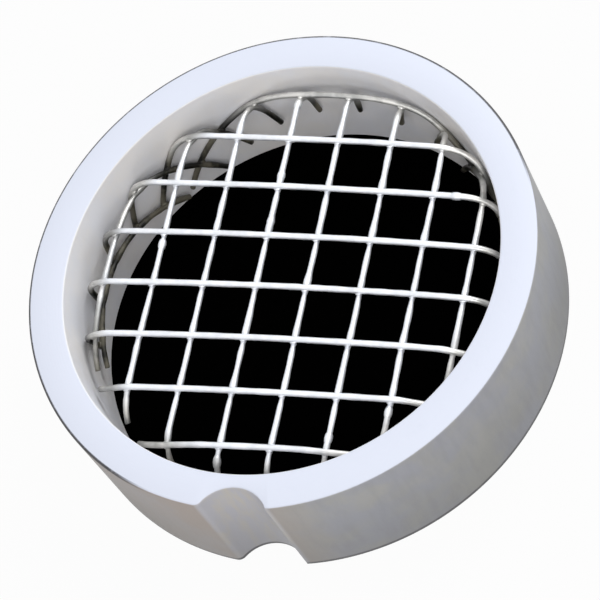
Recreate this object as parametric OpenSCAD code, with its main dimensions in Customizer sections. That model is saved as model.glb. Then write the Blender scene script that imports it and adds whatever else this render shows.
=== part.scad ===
// Pipe vent screen: a short slice of plastic pipe with a drain notch down its outside,
// and a piece of welded, galvanised wire mesh pressed into its bore like an upturned cup.
// The slice stands on its back face, and its front face is on top. Millimetres.

/* [Pipe slice] */
// Outside diameter of the pipe
pipe_od = 60.3; // [56:0.1:64]
// Wall thickness of the pipe
pipe_wall = 4.3; // [3.6:0.1:6]
// Length of the slice along the pipe
slice_length = 16; // [14:0.5:18]
// Flat that deburring leaves on each edge of the slice
edge_break = 0.25; // [0.1:0.05:0.5]

/* [Drain notch] */
// Diameter of the cutter that made the notch
notch_d = 9; // [6:0.5:12]
// Depth of the notch below the outside of the pipe
notch_depth = 2.6; // [1.5:0.1:3]
// Direction of the notch round the pipe
notch_angle = 225; // [0:5:355]
// Rounding of the notch's worn shoulder
shoulder_r = 1; // [0.4:0.1:1.5]

/* [Wire mesh] */
// Spacing of the wires in both layers
mesh_pitch = 6.35; // [6:0.05:9]
// Diameter of one wire with its zinc
wire_d = 0.7; // [0.5:0.05:1]
// How far the two layers sink into each other at a weld
weld_sink = 0.12; // [0.06:0.01:0.2]
// Direction of the front layer's wires
mesh_turn = -48; // [-90:1:90]
// Distance from the pipe's axis to the nearest front wire, across the front layer
front_shift = -1.6; // [-3:0.1:3]
// Distance from the pipe's axis to the nearest back wire, across the back layer
back_shift = 2.9; // [-3:0.1:3]

/* [Pressed cup] */
// Depth of the middle of the mesh below the front face
screen_recess = 3.2; // [2.2:0.1:4]
// Radius of the bend where the mesh turns down the bore
bend_r = 3.45; // [2.5:0.05:4.5]
// Depth of the rim below the flat, where the wires run straight down
rim_drop = 6; // [5:0.1:7]
// Distance from the lowest wire ends to the back face, before the lean
end_margin = 1.9; // [1.8:0.1:3.5]
// How much deeper than the others one corner of the blank was snipped
odd_snip = 17; // [0:0.5:18]
// How near to the middle lines of the blank the odd snip comes
odd_keep = 11.5; // [8:0.5:13]
// Share of the rim's depth that is lost towards the diagonals of the mesh
diagonal_ease = 0.18; // [0:0.01:0.25]
// Lean of the mesh, which was pressed in a little askew
lean = 2.6; // [0:0.1:3]
// Direction in which the mesh comes nearest to the front face
lean_toward = 12; // [0:1:359]
// Gap between the outermost wires and the bore
rim_clearance = 0.1; // [0.05:0.01:0.25]

/* [Zinc beads] */
// Diameter of the drops of zinc that hang on a few wires
bead_d = 1.15; // [0.9:0.05:1.5]
// Length of one drop along its wire
bead_length = 1.9; // [1.4:0.1:2.6]

/* [Hidden] */

pipe_r = pipe_od / 2;
bore_r = pipe_r - pipe_wall;
ring_facets = 180;

// The notch is a bore parallel to the pipe that breaks through its outside
notch_r = notch_d / 2;
notch_axis_r = pipe_r - notch_depth + notch_r;
notch_facets = 64;
past = 1;

// The shoulder's round touches the pipe from inside and the notch from outside
shoulder_axis_r = pipe_r - shoulder_r;
shoulder_reach = notch_r + shoulder_r;
shoulder_turn = corner_angle(shoulder_axis_r, notch_axis_r, shoulder_reach);
shoulder_axis = polar(shoulder_axis_r, -shoulder_turn);

// Eight flats hold as much metal as the round wire: radius at their corners, and across them
wire_sides = 8;
corner_r = wire_d / 2 * sqrt(PI / (wire_sides / 2 * sin(360 / wire_sides)));
face_r = corner_r * cos(180 / wire_sides);

// Two layers of wire, each half a layer step from the middle of the mesh
layer_step = 2 * face_r - weld_sink;

// The middle of the mesh turns from a flat disc, round the bend and down the rim
rim_r = bore_r - rim_clearance - face_r - layer_step / 2;
flat_r = rim_r - bend_r;
bend_arc = bend_r * PI / 2;

// The flat blank is a square of mesh with its corners snipped off. Past the bend, a point's
// distance from the middle of the blank is its depth below the flat plus this.
unrolled = flat_r + bend_arc - bend_r;
blank_half = unrolled + rim_drop;
corner_drop = slice_length - screen_recess - end_margin;
corner_reach = unrolled + corner_drop / (1 - diagonal_ease);

// Along a snipped edge, the distances from the two middle lines of the blank add up to this
corner_sum = blank_half + half_chord(corner_reach, blank_half);
bend_parts = 4;
least_step = 0.9;

// A bead's two ends are turned opposite ways, so that its facets lie askew like a real drop's
bead_turns = [10, 20, 30];
bead_facets = 8;

// Each bead: its layer, its wire counted from the one nearest to the axis, and its place along
// that wire in pitches of the mesh
beads = [
    ["back", 2, -2.46],
    ["back", 1, -2.99],
    ["back", -1, 3.56],
    ["back", -1, 2],
    ["back", -1, 1.05],
    ["back", -1, -3.53],
    ["back", -3, 0.54],
    ["front", 2, 2.94],
];

function polar(r, angle) = [r * cos(angle), r * sin(angle)];

// Angle at the pipe's axis of a triangle with sides a and b beside it and c across
function corner_angle(a, b, c) = acos((a * a + b * b - c * c) / (2 * a * b));

// Height that the lean adds at a place on the mesh
function lean_height(x, y) = tan(lean) * (x * cos(lean_toward) + y * sin(lean_toward));

// Turn of the mesh at a distance s from the middle of the flat blank: 0 on the flat, 90 on the rim
function bend_turn(s) = min(90, max(0, (s - flat_r) / bend_r * 180 / PI));

// Distance from the pipe's axis, and depth below the flat, of the pressed mesh at s
function pressed_r(s) = s <= flat_r ? s : flat_r + bend_r * sin(bend_turn(s));
function pressed_depth(s) =
    s <= flat_r ? 0 : bend_r * (1 - cos(bend_turn(s))) + max(0, s - flat_r - bend_arc);

// Share of its depth that the rim keeps at a point of the blank. It is less towards the
// diagonals, where the squares lean over and the wires run on further round the bore.
function depth_kept(p) = 1 - diagonal_ease * pow(sin(2 * (atan2(p[1], p[0]) - mesh_turn)), 2);

// A point of the flat blank, x and y in the pipe's directions, after pressing.
// side is the distance from the middle of the mesh, to the front or along the bend outwards.
function pressed(p, side) =
    let (
        s = max(norm(p), 0.001),
        out = p / s,
        r = pressed_r(s) + side * sin(bend_turn(s)),
        depth = pressed_depth(s) * depth_kept(p),
        z = slice_length - screen_recess - depth + side * cos(bend_turn(s)),
        place = out * r
    )
    [place[0], place[1], z + lean_height(place[0], place[1])];

// Directions of the two layers: along the front wires and along the back wires
function along(layer) = polar(1, mesh_turn + (layer == "front" ? 0 : 90));
function across(layer) = polar(1, mesh_turn + (layer == "front" ? 90 : 0));
function shift(layer) = layer == "front" ? front_shift : back_shift;
function side_of(layer) = (layer == "front" ? 1 : -1) * layer_step / 2;
function on_wire(layer, offset, t) = across(layer) * offset + along(layer) * t;
function wire_point(layer, offset, t) = pressed(on_wire(layer, offset, t), side_of(layer));

// Half of the length that a circle of radius s holds of a line at a distance from its middle
function half_chord(s, offset) = sqrt(max(0, s * s - offset * offset));

// Length of a wire from the middle line to its end on one side, 1 or -1. The odd corner lies
// where both wires run on the negative side of the middle lines.
function snipped_half(offset, snip) = min(blank_half, corner_sum - snip - abs(offset));
function odd_half(offset) =
    abs(offset) < odd_keep ? blank_half : max(snipped_half(offset, odd_snip), odd_keep);
function wire_half(offset, side) =
    offset < 0 && side < 0 ? odd_half(offset) : snipped_half(offset, 0);

function other(layer) = layer == "front" ? "back" : "front";
function rim_welds(layer, offset, from, to) =
    let (
        first = ceil((from + least_step - shift(other(layer))) / mesh_pitch),
        last = floor((to - least_step - shift(other(layer))) / mesh_pitch)
    )
    [for (i = [first : 1 : last]) i * mesh_pitch + shift(other(layer))];
function bend_steps(offset) = [
    for (i = [0 : bend_parts])
        let (s = flat_r + bend_arc * i / bend_parts)
        if (s > abs(offset) + least_step / 4) half_chord(s, offset)
];

// Places along a wire, from one cut end to the other: its ends, its welds on the rim, and
// steps round the bend. A wire that never reaches the flat also gets its middle.
function wire_steps(layer, offset) =
    let (
        start = -wire_half(offset, -1),
        end = wire_half(offset, 1),
        bends = bend_steps(offset),
        rim = len(bends) > 0 ? bends[len(bends) - 1] : 0
    )
    concat(
        [start],
        rim > 0 ? rim_welds(layer, offset, start, -rim) : rim_welds(layer, offset, start, end),
        [for (i = [len(bends) - 1 : -1 : 0]) if (-bends[i] > start + least_step / 2) -bends[i]],
        rim > 0 && abs(offset) >= flat_r ? [0] : [],
        bends,
        rim > 0 ? rim_welds(layer, offset, rim, end) : [],
        [end]
    );

function unit(v) = v / norm(v);

// Ring of points round a wire's path at step i, square to the path
function wire_ring(path, fronts, i) =
    let (
        last = len(path) - 1,
        ahead = unit(path[min(i + 1, last)] - path[max(i - 1, 0)]),
        sideways = unit(cross(ahead, fronts[i])),
        up = cross(sideways, ahead)
    )
    [for (k = [0 : wire_sides - 1])
        let (a = (k + 0.5) * 360 / wire_sides)
        path[i] + corner_r * (cos(a) * sideways + sin(a) * up)];

// A tube through rings of equal size, closed at both ends
module tube_through(rings) {
    n = len(rings[0]);
    last = len(rings) - 1;
    polyhedron(
        points = [for (ring = rings) each ring],
        faces = concat(
            [[for (k = [n - 1 : -1 : 0]) k]],
            [for (i = [0 : last - 1], k = [0 : n - 1])
                [i * n + k, i * n + (k + 1) % n, (i + 1) * n + (k + 1) % n, (i + 1) * n + k]],
            [[for (k = [0 : n - 1]) last * n + k]]
        )
    );
}

// One wire of a layer, from cut end to cut end
module wire(layer, offset) {
    steps = wire_steps(layer, offset);
    path = [for (t = steps) wire_point(layer, offset, t)];
    fronts = [for (t = steps)
        let (p = on_wire(layer, offset, t))
        pressed(p, 1) - pressed(p, 0)];
    tube_through([for (i = [0 : len(path) - 1]) wire_ring(path, fronts, i)]);
}

// All wires of a layer that the blank holds
module layer_of_wires(layer) {
    first = ceil((-blank_half + wire_d - shift(layer)) / mesh_pitch);
    last = floor((blank_half - wire_d - shift(layer)) / mesh_pitch);
    for (i = [first : last]) wire(layer, i * mesh_pitch + shift(layer));
}

// A drop of zinc along a wire. There is no room for one on the rim.
function off_rim(layer, index, place) =
    norm([index * mesh_pitch + shift(layer), place * mesh_pitch]) < flat_r + bend_r / 2;
module bead(layer, index, place) {
    offset = index * mesh_pitch + shift(layer);
    t = place * mesh_pitch;
    half = (bead_length - bead_d) / 2;
    hull()
        for (end = [-1, 1])
            translate(wire_point(layer, offset, t + end * half))
                rotate(end * bead_turns) sphere(d = bead_d, $fn = bead_facets);
}

// Slice of pipe with broken edges, before the notch
module pipe_slice() {
    rotate_extrude($fn = ring_facets)
        polygon([
            [bore_r + edge_break, 0],
            [pipe_r - edge_break, 0],
            [pipe_r, edge_break],
            [pipe_r, slice_length - edge_break],
            [pipe_r - edge_break, slice_length],
            [bore_r + edge_break, slice_length],
            [bore_r, slice_length - edge_break],
            [bore_r, edge_break],
        ]);
}

// What the notch takes away, drawn with the notch on the X axis
module notch_cut() {
    translate([notch_axis_r, 0, -past])
        cylinder(r = notch_r, h = slice_length + 2 * past, $fn = notch_facets);
    // Corner between the notch and the round of its worn shoulder
    difference() {
        translate([0, 0, -past])
            linear_extrude(slice_length + 2 * past)
                polygon([
                    shoulder_axis,
                    polar(notch_axis_r, 0),
                    polar(notch_axis_r, -shoulder_turn),
                ]);
        translate([shoulder_axis[0], shoulder_axis[1], -2 * past])
            cylinder(r = shoulder_r, h = slice_length + 4 * past, $fn = notch_facets);
    }
}

module pipe_ring() {
    color([0.90, 0.92, 0.97])
        difference() {
            pipe_slice();
            rotate([0, 0, notch_angle]) notch_cut();
        }
}

module wire_screen() {
    color([0.80, 0.82, 0.84])
        union() {
            layer_of_wires("front");
            layer_of_wires("back");
            for (b = beads) if (off_rim(b[0], b[1], b[2])) bead(b[0], b[1], b[2]);
        }
}

pipe_ring();
wire_screen();
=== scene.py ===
import math
import random
import bpy
from mathutils import Matrix, Vector


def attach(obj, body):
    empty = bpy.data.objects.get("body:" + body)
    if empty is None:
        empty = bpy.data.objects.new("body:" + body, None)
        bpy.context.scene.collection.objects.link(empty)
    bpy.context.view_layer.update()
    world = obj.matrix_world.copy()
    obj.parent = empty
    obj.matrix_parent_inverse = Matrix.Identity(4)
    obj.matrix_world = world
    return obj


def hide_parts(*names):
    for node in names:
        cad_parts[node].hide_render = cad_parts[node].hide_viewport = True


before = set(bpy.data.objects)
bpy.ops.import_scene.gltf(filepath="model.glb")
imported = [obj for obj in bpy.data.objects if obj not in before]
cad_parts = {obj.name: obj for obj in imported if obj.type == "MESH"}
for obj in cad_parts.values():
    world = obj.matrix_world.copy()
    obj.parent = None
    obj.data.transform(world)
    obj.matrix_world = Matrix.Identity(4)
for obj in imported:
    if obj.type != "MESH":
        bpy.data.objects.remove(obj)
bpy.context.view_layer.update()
print("frame loaded")


# Small helpers

def deselectAll():
    if bpy.context.object and bpy.context.object.mode != "OBJECT":
        bpy.ops.object.mode_set(mode="OBJECT")
    bpy.ops.object.select_all(action="DESELECT")


def pick(thing):
    deselectAll()
    thing.select_set(True)
    bpy.context.view_layer.objects.active = thing


def newest(name):
    thing = bpy.context.object
    thing.name = name
    thing.data.name = name
    return thing


def selectParts(thing, faces=None, edges=None):
    # edit mode with only the wanted faces or edges selected
    bpy.ops.object.mode_set(mode="EDIT")
    bpy.ops.mesh.select_mode(type="FACE" if faces else "EDGE")
    bpy.ops.mesh.select_all(action="DESELECT")
    bpy.ops.object.mode_set(mode="OBJECT")
    mesh = thing.data
    if faces:
        for face in mesh.polygons:
            face.select = faces(face)
    if edges:
        for edge in mesh.edges:
            edge.select = edges(mesh.vertices[edge.vertices[0]].co, mesh.vertices[edge.vertices[1]].co)
    bpy.ops.object.mode_set(mode="EDIT")


def settle(thing, angle):
    # places, turns and sizes go into the mesh, with normals outwards and crisp edges kept
    pick(thing)
    bpy.ops.object.transform_apply(location=True, rotation=True, scale=True)
    bpy.ops.object.mode_set(mode="EDIT")
    bpy.ops.mesh.select_all(action="SELECT")
    bpy.ops.mesh.normals_make_consistent(inside=False)
    bpy.ops.object.mode_set(mode="OBJECT")
    bpy.ops.object.shade_smooth_by_angle(angle=math.radians(angle))


def joined(name, things):
    deselectAll()
    for thing in things:
        thing.select_set(True)
    bpy.context.view_layer.objects.active = things[0]
    bpy.ops.object.join()
    return newest(name)


def around(radius, degrees):
    return Vector((radius * math.cos(math.radians(degrees)), radius * math.sin(math.radians(degrees))))


# The camera, where the photograph was taken from

cameraSettings = {
    "place": (-0.01869, -0.17567, 0.28292),
    "turn": (28.129, 17.252, -35.063),
    "lens": 170.2,
}

bpy.ops.object.camera_add(
    location=cameraSettings["place"],
    rotation=[math.radians(a) for a in cameraSettings["turn"]])
camera = newest("camera")
camera.data.lens = cameraSettings["lens"]
camera.data.clip_start = 0.01
camera.data.dof.use_dof = False
bpy.context.scene.camera = camera
print("camera placed")


# Shader sums written as sums

class Level:
    # an output socket that can stand in a sum
    def __init__(self, paint, socket):
        self.paint = paint
        self.socket = socket

    def sum(self, operation, first, second=0.0):
        return self.paint.add("ShaderNodeMath", {"operation": operation}, {0: first, 1: second})

    def __add__(self, other):
        return self.sum("ADD", self, other)

    def __radd__(self, other):
        return self.sum("ADD", other, self)

    def __sub__(self, other):
        return self.sum("SUBTRACT", self, other)

    def __rsub__(self, other):
        return self.sum("SUBTRACT", other, self)

    def __mul__(self, other):
        return self.sum("MULTIPLY", self, other)

    def __rmul__(self, other):
        return self.sum("MULTIPLY", other, self)

    def __truediv__(self, other):
        return self.sum("DIVIDE", self, other)

    def __pow__(self, other):
        return self.sum("POWER", self, other)

    def __gt__(self, other):
        return self.sum("GREATER_THAN", self, other)

    def __abs__(self):
        return self.sum("ABSOLUTE", self)


class Paint:
    # a material and its nodes
    def __init__(self, name):
        self.material = bpy.data.materials.new(name)
        self.material.use_nodes = True
        self.tree = self.material.node_tree
        self.tree.nodes.clear()
        self.end = self.tree.nodes.new("ShaderNodeOutputMaterial")

    def add(self, kind, settings=None, inputs=None, output=0):
        node = self.tree.nodes.new(kind)
        for key, value in (settings or {}).items():
            if key == "stops":
                for i, (place, colour) in enumerate(value):
                    stop = node.color_ramp.elements[i] if i < 2 else node.color_ramp.elements.new(place)
                    stop.position = place
                    stop.color = colour if len(colour) == 4 else (*colour, 1)
            else:
                setattr(node, key, value)
        for key, value in (inputs or {}).items():
            if isinstance(value, Level):
                self.tree.links.new(value.socket, node.inputs[key])
            else:
                node.inputs[key].default_value = value
        return Level(self, node.outputs[output])

    def place(self):
        return self.add("ShaderNodeTexCoord", output="Object")

    def split(self, vector):
        node = self.add("ShaderNodeSeparateXYZ", inputs={0: vector}).socket.node
        return [Level(self, node.outputs[i]) for i in range(3)]

    def gather(self, x, y, z):
        return self.add("ShaderNodeCombineXYZ", inputs={0: x, 1: y, 2: z})

    def noise(self, vector, scale, detail=3.0, roughness=0.5):
        return self.add("ShaderNodeTexNoise", inputs={"Vector": vector, "Scale": scale, "Detail": detail, "Roughness": roughness})

    def ease(self, value, low, high, start=0.0, stop=1.0):
        # from start at low to stop at high, with soft ends
        return self.add("ShaderNodeMapRange", {"interpolation_type": "SMOOTHSTEP"}, {0: value, 1: low, 2: high, 3: start, 4: stop})

    def blend(self, mask, first, second):
        full = [v if isinstance(v, Level) else (*v, 1) for v in (first, second)]
        return self.add("ShaderNodeMix", {"data_type": "RGBA"}, {0: mask, 6: full[0], 7: full[1]}, output=2)

    def bump(self, height, depth, normal=None):
        inputs = {"Strength": 1.0, "Distance": depth, "Height": height}
        if normal:
            inputs["Normal"] = normal
        return self.add("ShaderNodeBump", inputs=inputs)

    def finish(self, inputs):
        surface = self.add("ShaderNodeBsdfPrincipled", inputs=inputs)
        self.tree.links.new(surface.socket, self.end.inputs["Surface"])
        return self.material


# The slice of pipe

pipeSettings = {
    "outside": 0.030145,
    "bore": 0.02585,
    "length": 0.016,
    "edge": 0.00025,          # what deburring took off
    "cutter": 0.0045,         # radius of the tool that made the drain notch
    "notchDepth": 0.0026,
    "notchTurn": 225,
    "shoulder": 0.001,        # the notch's worn shoulder
    "roundSteps": 330,
    "shoulderSteps": 7,
    "notchSteps": 34,
    "face": (0.69, 0.73, 0.845),
    # the outside's colours: real scuffs, streaks and a beige stain, on a base kept far darker than the face as painted
    # shade
    "outsideCoolShaded": (0.375, 0.385, 0.43),
    "outsideWarmShaded": (0.42, 0.42, 0.405),
    "outsideStreakShaded": (0.29, 0.29, 0.313),
    "outsideBeigeShaded": (0.41, 0.355, 0.322),
    "beigeTurn": 204,         # the outside is beige round this side of the notch
    "freshCool": (0.52, 0.52, 0.565),
    "freshWarm": (0.565, 0.54, 0.505),
    # the bore wall is paler than the face: painted light, with real blotchy tone
    "boreCoolLit": (0.87, 0.88, 0.93),
    "boreWarmLit": (0.91, 0.89, 0.88),
    # colour of the dark line along the front face's outer edge and of the painted shade along the bottom edge
    "darkLineAndShade": (0.05, 0.05, 0.055),
    "darkLineTurn": 90,           # the front face's outer edge has a dark line everywhere but round the side opposite this
    "leastShadeTurn": 258,         # the painted shade on the outside is least round this side
}


def pipeOutline(s):
    # points round the outside, down one shoulder and through the notch
    outside = s["outside"]
    cutterAt = outside - s["notchDepth"] + s["cutter"]
    shoulderAt = outside - s["shoulder"]
    reach = s["cutter"] + s["shoulder"]

    def corner(a, b, c):
        return math.degrees(math.acos((a * a + b * b - c * c) / (2 * a * b)))

    shoulderTurn = corner(shoulderAt, cutterAt, reach)
    sharpTurn = corner(outside, cutterAt, s["cutter"])
    middle = around(shoulderAt, -shoulderTurn)
    cutter = around(cutterAt, 0)
    touch = (cutter - middle).normalized()
    first = -shoulderTurn
    last = math.degrees(math.atan2(touch.y, touch.x))
    points = []
    turn = 360 - shoulderTurn - sharpTurn
    for i in range(s["roundSteps"]):
        points.append(around(outside, sharpTurn + turn * i / s["roundSteps"]))
    for i in range(s["shoulderSteps"]):
        points.append(middle + around(s["shoulder"], first + (last - first) * i / s["shoulderSteps"]))
    begin = math.degrees(math.atan2(-touch.y, -touch.x)) % 360
    edge = around(outside, sharpTurn) - cutter
    stop = math.degrees(math.atan2(edge.y, edge.x)) % 360
    for i in range(s["notchSteps"]):
        points.append(cutter + around(s["cutter"], begin + (stop - begin) * i / s["notchSteps"]))
    spin = Matrix.Rotation(math.radians(s["notchTurn"]), 2)
    return [spin @ p for p in points]


def makePipe(s):
    outline = pipeOutline(s)
    deselectAll()
    bpy.ops.mesh.primitive_circle_add(vertices=len(outline), radius=s["outside"], fill_type="NOTHING")
    pipe = newest("pipeRing")
    for vertex, point in zip(pipe.data.vertices, outline):
        vertex.co = (point.x, point.y, 0)
    count = len(outline)
    bpy.ops.object.mode_set(mode="EDIT")
    bpy.ops.mesh.select_all(action="SELECT")
    bpy.ops.mesh.extrude_region()
    bpy.ops.object.mode_set(mode="OBJECT")
    for vertex in pipe.data.vertices[count:]:
        vertex.co = vertex.co.normalized() * s["bore"]
    bpy.ops.object.mode_set(mode="EDIT")
    bpy.ops.mesh.select_all(action="SELECT")
    bpy.ops.mesh.extrude_region_move(TRANSFORM_OT_translate={"value": (0, 0, s["length"])})
    bpy.ops.object.mode_set(mode="OBJECT")

    def onRim(a, b):
        level = abs(a.z - b.z) < 1e-6
        along = abs(a.xy.length - b.xy.length) < 0.0006
        return level and along

    selectParts(pipe, edges=onRim)
    bpy.ops.mesh.bevel(offset=s["edge"], segments=3, profile=0.5, affect="EDGES")
    bpy.ops.object.mode_set(mode="OBJECT")
    settle(pipe, 35)
    return pipe


def pvcPaint(s):
    paint = Paint("whitePvc")
    place = paint.place()
    x, y, z = paint.split(place)
    radius = (x * x + y * y) ** 0.5
    wrap = paint.gather(x / radius, y / radius, z * 8)
    facing = paint.split(paint.add("ShaderNodeNewGeometry", output="Normal"))[2]
    cut = paint.ease(abs(facing), 0.6, 0.95)
    outer = paint.ease(radius, 0.0270, 0.0274) * (1 - cut)
    inner = (1 - paint.ease(radius, 0.0262, 0.0268)) * (1 - cut)
    blotches = paint.noise(place, 130, 4, 0.6)
    streaks = paint.noise(wrap, 24, 4, 0.6)
    specks = paint.noise(place, 1400, 2, 0.5)
    # the outside: real scuffs, streaks, a beige stain and a paler notch, on a base darker than the face as painted
    # shade
    outsideScuffAndShade = paint.blend(paint.ease(blotches, 0.36, 0.64), s["outsideCoolShaded"], s["outsideWarmShaded"])
    outsideScuffAndShade = paint.blend(paint.ease(streaks, 0.35, 0.75, 0.0, 0.35), outsideScuffAndShade, s["outsideStreakShaded"])
    beigeAt = around(1, s["beigeTurn"])
    beige = paint.ease((x * beigeAt.x + y * beigeAt.y) / radius, 0.75, 0.97) * paint.ease(blotches, 0.3, 0.6, 0.6, 1.0)
    outsideScuffAndShade = paint.blend(beige, outsideScuffAndShade, s["outsideBeigeShaded"])
    notchAt = around(s["outside"] - s["notchDepth"] + s["cutter"], s["notchTurn"])
    fromCutter = ((x - notchAt.x) ** 2 + (y - notchAt.y) ** 2) ** 0.5
    fresh = 1 - paint.ease(fromCutter, s["cutter"] + 0.0001, s["cutter"] + 0.0006)
    outsideScuffAndShade = paint.blend(fresh, outsideScuffAndShade, paint.blend(paint.ease(streaks, 0.4, 0.7), s["freshCool"], s["freshWarm"]))
    # painted shade: the outside and the notch darken towards the bottom and round the two sides either way from the
    # least shaded side
    low = 1 - paint.ease(z, 0.001, 0.0155)
    leastShadeAt = around(1, s["leastShadeTurn"])
    toward = (x * leastShadeAt.x + y * leastShadeAt.y) / radius
    sides = paint.ease(toward, -0.6, 0.15) * (1 - paint.ease(toward, 0.35, 0.8))
    outsideScuffAndShade = paint.blend(low * 0.26 + sides * (0.15 + low * 0.26), outsideScuffAndShade, (0, 0, 0))
    # the bore wall: painted light, paler than the face, in cool and warm blotches
    bore = paint.blend(paint.ease(blotches, 0.3, 0.7), s["boreCoolLit"], s["boreWarmLit"])
    colour = paint.blend(outer, s["face"], outsideScuffAndShade)
    colour = paint.blend(inner, colour, bore)
    # a dark line along the front face's outer edge, and painted shade along the bottom edge where the ring stands on
    # the floor, both broken up by the streaks
    darkLineAt = around(1, s["darkLineTurn"])
    darkLineAndShadeMask = paint.ease(radius, s["outside"] - 0.00036, s["outside"] - 0.0002) * paint.ease(z, 0.0155, 0.0157)
    darkLineAndShadeMask = darkLineAndShadeMask * paint.ease((x * darkLineAt.x + y * darkLineAt.y) / radius, -0.45, -0.25)
    below = outer * (1 - paint.ease(z, 0.0005, 0.0008))
    darkLineAndShadeMask = (darkLineAndShadeMask + below) * paint.ease(streaks, 0.2, 0.5, 0.6, 1.0)
    colour = paint.blend(darkLineAndShadeMask, colour, s["darkLineAndShade"])
    rings = paint.add("ShaderNodeTexWave", {"wave_type": "RINGS", "rings_direction": "Z"},
                      {"Vector": place, "Scale": 900.0, "Distortion": 1.5, "Detail": 2.0, "Detail Scale": 40.0})
    height = rings * cut * 0.04 + streaks * (1 - cut) + specks * 0.2
    roughness = 0.38 + cut * 0.16 + blotches * 0.12
    return paint.finish({
        "Base Color": colour,
        "Roughness": roughness,
        "Normal": paint.bump(height, 0.00004),
        "IOR": 1.5,
    })


pipe = makePipe(pipeSettings)
pipe.data.materials.clear()
pipe.data.materials.append(pvcPaint(pipeSettings))
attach(pipe, "root")
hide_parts("pipe_ring")
print("pipe made")


# The wire screen, pressed into the bore like an upturned cup

screenSettings = {
    "pitch": 0.00635,
    "wire": 0.0007,
    "sink": 0.00012,           # how far the layers sink into each other at a weld
    "turn": -48,
    "shift": {"front": -0.0016, "back": 0.0029},
    "recess": 0.0032,
    "bend": 0.00345,
    "rimDrop": 0.006,          # depth of the rim where the wires run straight down
    "endMargin": 0.0019,
    "oddSnip": 0.017,          # how much deeper one corner of the blank was snipped
    "oddKeep": 0.0115,         # how near to the blank's middle lines that snip comes
    "diagonalEase": 0.18,      # share of the rim's depth that is lost towards the diagonals
    # how far each back wire is out of its place, from wire -5 to wire 4
    "uneven": [-0.0003, -0.0004, -0.00025, -0.0002, 0.0, -0.00018, 0.00001, 0.00002, -0.00024, -0.0001],
    # how the front wires bow: share of x, y, xx, xy and yy, in parts of bowSpan
    "bow": (0.000218, 0.00009, 0.00006, -0.00031, -0.00044, -0.00045),
    "bowSpan": 0.020,
    "lean": 2.6,
    "leanToward": 12,
    "clearance": 0.0001,
    "sides": 14,
    "step": 0.0005,
    "base": {"front": 1.0, "back": 0.9},
    "swell": {"front": 0.06, "back": 0.20},
    "fillet": 0.24,            # how much zinc stands on the upper side of each weld
    "pinch": 0.22,             # how thin a back wire is on the lower side of each weld
    "wander": {"front": 0.00003, "back": 0.00005},
    "weld": (0.00050, 0.00050, 0.00034),
    "bead": (0.00092, 0.00048, 0.00048),
    "beads": [("back", 2, -2.457), ("back", 1, -2.992), ("back", -1, 3.559), ("back", -1, 2.0),
              ("back", -1, 1.055), ("back", -1, -3.528), ("back", -3, 0.535), ("front", 2, 2.945)],
}

layerStep = screenSettings["wire"] - screenSettings["sink"] - 0.00002
rimRadius = pipeSettings["bore"] - screenSettings["clearance"] - screenSettings["wire"] / 2 - layerStep / 2
flatRadius = rimRadius - screenSettings["bend"]
bendLength = screenSettings["bend"] * math.pi / 2

# The flat blank is a square of mesh with its corners snipped off
unrolled = flatRadius + bendLength - screenSettings["bend"]
blankHalf = unrolled + screenSettings["rimDrop"]
cornerDrop = pipeSettings["length"] - screenSettings["recess"] - screenSettings["endMargin"]
cornerReach = unrolled + cornerDrop / (1 - screenSettings["diagonalEase"])
cornerSum = blankHalf + math.sqrt(cornerReach ** 2 - blankHalf ** 2)


def across(layer):
    return around(1, screenSettings["turn"] + (90 if layer == "front" else 0))


def along(layer):
    return around(1, screenSettings["turn"] + (0 if layer == "front" else 90))


def side(layer):
    return layerStep / 2 if layer == "front" else -layerStep / 2


def depthKept(blank):
    # towards the diagonals the squares lean over and the rim is less deep
    turn = math.atan2(blank.y, blank.x) - math.radians(screenSettings["turn"])
    return 1 - screenSettings["diagonalEase"] * math.sin(2 * turn) ** 2


def wireHalf(offset, toward):
    # from the middle line to the wire's end on one side, 1 or -1
    full = cornerSum - abs(offset)
    if offset < 0 and toward < 0:
        keep = screenSettings["oddKeep"]
        full = blankHalf if -offset < keep else max(full - screenSettings["oddSnip"], keep)
    return min(blankHalf, full)


def bowed(u, v):
    # where the wires' crossing u, v of an even flat mesh is on this uneven one
    s = screenSettings
    x, y = u / s["bowSpan"], v / s["bowSpan"]
    far = math.hypot(x, y)
    if far > 1.15:
        x, y = x * 1.15 / far, y * 1.15 / far
    a = s["bow"]
    shiftV = a[0] + a[1] * x + a[2] * y + a[3] * x * x + a[4] * x * y + a[5] * y * y
    place = (u - s["shift"]["back"]) / s["pitch"] + 5
    low = min(len(s["uneven"]) - 2, max(0, math.floor(place)))
    part = min(1.0, max(0.0, place - low))
    shiftU = s["uneven"][low] * (1 - part) + s["uneven"][low + 1] * part
    return u + shiftU, v + shiftV


def pressed(blank, lift):
    # where a point of the flat blank goes when the cup is pressed
    s = max(blank.length, 1e-6)
    turn = min(math.pi / 2, max(0.0, (s - flatRadius) / screenSettings["bend"]))
    if s <= flatRadius:
        radius, depth = s, 0.0
    else:
        radius = flatRadius + screenSettings["bend"] * math.sin(turn)
        depth = screenSettings["bend"] * (1 - math.cos(turn)) + max(0.0, s - flatRadius - bendLength)
    radius += lift * math.sin(turn)
    depth *= depthKept(blank)
    height = pipeSettings["length"] - screenSettings["recess"] - depth + lift * math.cos(turn)
    spot = blank / s * radius
    toward = around(1, screenSettings["leanToward"])
    return Vector((spot.x, spot.y, height + math.tan(math.radians(screenSettings["lean"])) * spot.dot(toward)))


def onBlank(layer, offset, t):
    u, v = bowed(t, offset) if layer == "front" else bowed(offset, t)
    return across("back") * u + across("front") * v


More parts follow.
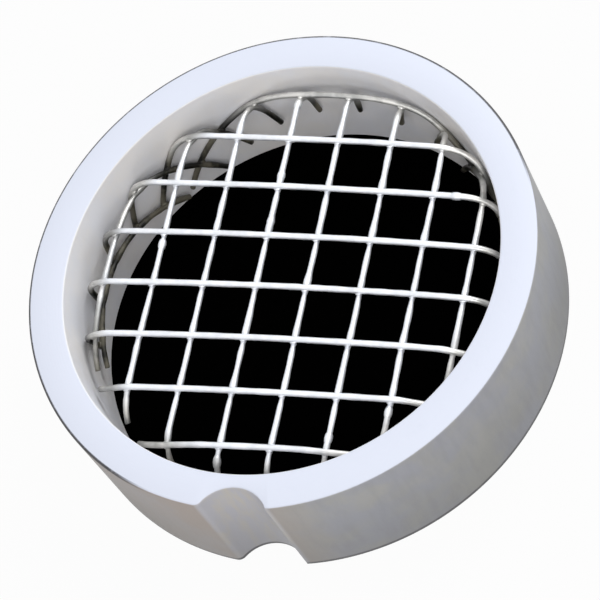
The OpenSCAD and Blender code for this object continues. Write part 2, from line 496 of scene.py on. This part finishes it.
def wireFrame(layer, offset, t):
    # middle of the wire at t, and the directions across it and out of the mesh
    blank = onBlank(layer, offset, t)
    small = 0.00005
    middle = pressed(blank, side(layer))
    ahead = (pressed(onBlank(layer, offset, t + small), side(layer))
             - pressed(onBlank(layer, offset, t - small), side(layer))).normalized()
    out = pressed(blank, 0.001) - pressed(blank, 0)
    sideways = ahead.cross(out).normalized()
    return middle, ahead, sideways, sideways.cross(ahead)


def zincProfile(layer, index, start, stop):
    # thickness and sideways wander along a wire, uneven where the zinc ran and set
    dice = random.Random(f"{layer}{index}")
    s = screenSettings
    lumps = []
    t = start
    while t < stop:
        t += dice.uniform(0.35, 1.0) * s["pitch"]
        lumps.append((t, dice.uniform(0.0008, 0.0020), dice.uniform(0.15, 1.0) * s["swell"][layer], dice.uniform(-1, 1)))
    if layer == "back":
        for i in wireIndexes("front"):
            weld = i * s["pitch"] + s["shift"]["front"]
            lumps.append((weld + dice.uniform(0.0007, 0.0012), dice.uniform(0.0006, 0.0011), dice.uniform(0.5, 1.1) * s["fillet"], 0))
            lumps.append((weld - 0.0007, 0.0004, -dice.uniform(0.6, 1.1) * s["pinch"], 0))
    waves = [(dice.uniform(700, 2600), dice.uniform(0, 6.3), dice.uniform(0.008, 0.022)) for i in range(4)]
    bends = [(dice.uniform(150, 500), dice.uniform(0, 6.3)) for i in range(3)]

    def profile(t):
        size = s["base"][layer] + sum(a * math.sin(k * t + p) for k, p, a in waves)
        shift = sum(math.sin(k * t + p) for k, p in bends) / 3 * s["wander"][layer]
        for middle, width, amount, lean in lumps:
            bell = math.exp(-((t - middle) / width) ** 2)
            size += amount * bell
            shift += lean * amount * bell * s["wire"] * 0.25
        return size, shift

    return profile


def makeWire(layer, index):
    s = screenSettings
    offset = index * s["pitch"] + s["shift"][layer]
    start = -wireHalf(offset, -1)
    stop = wireHalf(offset, 1)
    end = (stop - start) / 2
    middleT = (stop + start) / 2
    deselectAll()
    bpy.ops.mesh.primitive_cylinder_add(
        vertices=s["sides"], radius=s["wire"] / 2, depth=2 * end, rotation=(0, math.pi / 2, 0), end_fill_type="NGON")
    wire = newest(f"{layer}Wire{index}")
    bpy.ops.object.transform_apply(location=True, rotation=True, scale=True)
    cuts = max(4, round(math.sqrt(2 * end / s["step"])))
    selectParts(wire, edges=lambda a, b: abs(a.x - b.x) > end)
    bpy.ops.mesh.subdivide(number_cuts=cuts - 1)
    selectParts(wire, edges=lambda a, b: abs(a.x - b.x) > end / cuts)
    bpy.ops.mesh.subdivide(number_cuts=cuts - 1)
    selectParts(wire, edges=lambda a, b: abs(a.x) > end - 1e-6 and abs(b.x) > end - 1e-6)
    bpy.ops.mesh.bevel(offset=0.00007, segments=2, affect="EDGES")
    bpy.ops.object.mode_set(mode="OBJECT")
    profile = zincProfile(layer, index, start, stop)
    known = {}
    for vertex in wire.data.vertices:
        t = vertex.co.x + middleT
        key = round(t, 7)
        if key not in known:
            size, shift = profile(t)
            spot = onBlank(layer, offset, t).length
            if spot > flatRadius:
                size = min(size, 1.14)     # on the rim the bore leaves little room
            known[key] = (wireFrame(layer, offset, t), size, shift)
        (middle, ahead, sideways, out), size, shift = known[key]
        vertex.co = middle + sideways * (vertex.co.y * size + shift) + out * vertex.co.z * size
    return wire


def makeDrop(name, size):
    deselectAll()
    bpy.ops.mesh.primitive_uv_sphere_add(segments=12, ring_count=8, radius=1)
    drop = newest(name)
    for vertex in drop.data.vertices:
        vertex.co = Vector(a * b for a, b in zip(vertex.co, size))
    return drop


def copyTo(drop, name, matrix):
    twin = drop.copy()
    twin.data = drop.data.copy()
    twin.name = name
    bpy.context.scene.collection.objects.link(twin)
    twin.data.transform(matrix)
    return twin


def frameMatrix(middle, x, y, z):
    matrix = Matrix((x, y, z)).transposed().to_4x4()
    matrix.translation = middle
    return matrix


def wireIndexes(layer):
    s = screenSettings
    first = math.ceil((-blankHalf + s["wire"] - s["shift"][layer]) / s["pitch"])
    last = math.floor((blankHalf - s["wire"] - s["shift"][layer]) / s["pitch"])
    return range(first, last + 1)


def makeScreen():
    s = screenSettings
    parts = [makeWire(layer, index) for layer in ("front", "back") for index in wireIndexes(layer)]
    print("wires pressed:", len(parts))
    weld = makeDrop("weld", s["weld"])
    dice = random.Random("welds")
    for i in wireIndexes("front"):
        for j in wireIndexes("back"):
            a = i * s["pitch"] + s["shift"]["front"]
            b = j * s["pitch"] + s["shift"]["back"]
            blank = onBlank("front", a, b)
            if abs(b) > wireHalf(a, b) - s["wire"] / 2:
                continue
            middle, ahead, sideways, out = wireFrame("front", a, b)
            size = dice.uniform(0.88, 1.08)
            matrix = frameMatrix(pressed(blank, 0), ahead, sideways, out) @ Matrix.Diagonal((size, size, 1, 1))
            parts.append(copyTo(weld, f"weld{i}_{j}", matrix))
    bead = makeDrop("bead", s["bead"])
    for layer, index, t in s["beads"]:
        offset = index * s["pitch"] + s["shift"][layer]
        middle, ahead, sideways, out = wireFrame(layer, offset, t * s["pitch"])
        parts.append(copyTo(bead, f"bead{layer}{index}", frameMatrix(middle, ahead, sideways, out)))
    for pattern in (weld, bead):
        bpy.data.objects.remove(pattern)
    screen = joined("wireScreen", parts)
    settle(screen, 50)
    return screen


def zincPaint():
    paint = Paint("zincWire")
    place = paint.place()
    x, y, z = paint.split(place)
    radius = (x * x + y * y) ** 0.5
    # painted shade: the wires turn patchy grey on the bends and, below the bends inside the rim, nearly black in
    # patches and less metallic
    bent = paint.ease(radius, 0.0215, 0.0238)
    deepShade = (1 - paint.ease(z, 0.0093, 0.0122)) * paint.ease(radius, 0.0224, 0.0238)
    grain = paint.noise(place, 900, 4, 0.6)
    patches = paint.noise(place, 260, 3, 0.6)
    bright = paint.blend(paint.ease(grain, 0.3, 0.7), (0.80, 0.83, 0.88), (0.90, 0.92, 0.96))
    bendShade = paint.blend(paint.ease(patches, 0.4, 0.6), (0.24, 0.23, 0.19), (0.64, 0.62, 0.57))
    dark = paint.blend(paint.ease(patches, 0.42, 0.6), (0.008, 0.008, 0.006), (0.13, 0.12, 0.09))
    colour = paint.blend(bent * 0.7, bright, bendShade)
    colour = paint.blend(deepShade, colour, dark)
    return paint.finish({
        "Base Color": colour,
        "Metallic": 0.75 - deepShade * 0.5,
        "Roughness": paint.ease(patches, 0.3, 0.7, 0.34, 0.56),
        "Normal": paint.bump(grain, 0.00006),
    })


screen = makeScreen()
screen.data.materials.clear()
screen.data.materials.append(zincPaint())
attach(screen, "root")
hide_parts("wire_screen")
print("screen made")


# Floor, the dark below the mesh, and soft studio light

stageSettings = {
    "floorSize": 3.0,
    "floorColour": (0.44, 0.44, 0.45),
    "whiteShare": 0.965,       # how much of the floor that the camera sees is plain white
    "darkRadius": 0.0261,
    "ambient": 0.41,
    "ambientColour": (1.0, 0.99, 0.98),
}


def backdropPaint(s):
    paint = Paint("paleFloor")
    ray = paint.add("ShaderNodeLightPath").socket.node
    seen = [Level(paint, ray.outputs[name]) for name in ("Is Camera Ray", "Is Glossy Ray", "Is Transmission Ray")]
    share = (seen[0] + seen[1] + seen[2]) * s["whiteShare"]
    matt = paint.add("ShaderNodeBsdfDiffuse", inputs={"Color": (*s["floorColour"], 1)})
    white = paint.add("ShaderNodeEmission", inputs={"Color": (1, 1, 1, 1), "Strength": 1.0})
    both = paint.add("ShaderNodeMixShader", inputs={0: share, 1: matt, 2: white})
    paint.tree.links.new(both.socket, paint.end.inputs["Surface"])
    return paint.material


def makeStage(s):
    deselectAll()
    bpy.ops.mesh.primitive_plane_add(size=s["floorSize"], location=(0, 0, -0.0001))
    floor = newest("floor")
    floor.data.materials.append(backdropPaint(s))
    deselectAll()
    bpy.ops.mesh.primitive_circle_add(vertices=128, radius=s["darkRadius"], fill_type="NGON", location=(0, 0, 0.00005))
    dark = newest("darkBelow")
    paint = Paint("dark")
    dark.data.materials.append(paint.finish({"Base Color": (0.0004, 0.0004, 0.0004, 1), "Roughness": 1.0, "Specular IOR Level": 0.0}))


def makeWorld(s):
    world = bpy.data.worlds.new("studio")
    bpy.context.scene.world = world
    world.use_nodes = True
    tree = world.node_tree
    tree.nodes.clear()
    paths = tree.nodes.new("ShaderNodeLightPath")
    both = tree.nodes.new("ShaderNodeMixShader")
    light = tree.nodes.new("ShaderNodeBackground")
    white = tree.nodes.new("ShaderNodeBackground")
    end = tree.nodes.new("ShaderNodeOutputWorld")
    light.inputs["Color"].default_value = (*s["ambientColour"], 1)
    light.inputs["Strength"].default_value = s["ambient"]
    white.inputs["Color"].default_value = (1, 1, 1, 1)
    white.inputs["Strength"].default_value = 1.0
    either = tree.nodes.new("ShaderNodeMath")
    either.operation = "MAXIMUM"
    tree.links.new(paths.outputs["Is Camera Ray"], either.inputs[0])
    tree.links.new(paths.outputs["Is Glossy Ray"], either.inputs[1])
    tree.links.new(either.outputs[0], both.inputs[0])
    tree.links.new(light.outputs[0], both.inputs[1])
    tree.links.new(white.outputs[0], both.inputs[2])
    tree.links.new(both.outputs[0], end.inputs["Surface"])


def addLamp(name, place, size, power, colour):
    target = Vector((0, 0, 0.01))
    bpy.ops.object.light_add(type="AREA", location=place)
    lamp = newest(name)
    lamp.rotation_euler = (target - Vector(place)).to_track_quat("-Z", "Y").to_euler()
    lamp.data.shape = "DISK"
    lamp.data.size = size
    lamp.data.energy = power
    lamp.data.color = colour
    return lamp


makeStage(stageSettings)
makeWorld(stageSettings)
addLamp("key", (0.393, 0.159, 0.434), 0.28, 2.33, (0.98, 0.99, 1.0))
addLamp("fill", (-0.166, -0.391, 0.434), 0.28, 1.46, (1.0, 0.985, 0.965))
bpy.context.scene.view_settings.view_transform = "Standard"
print("stage lit")
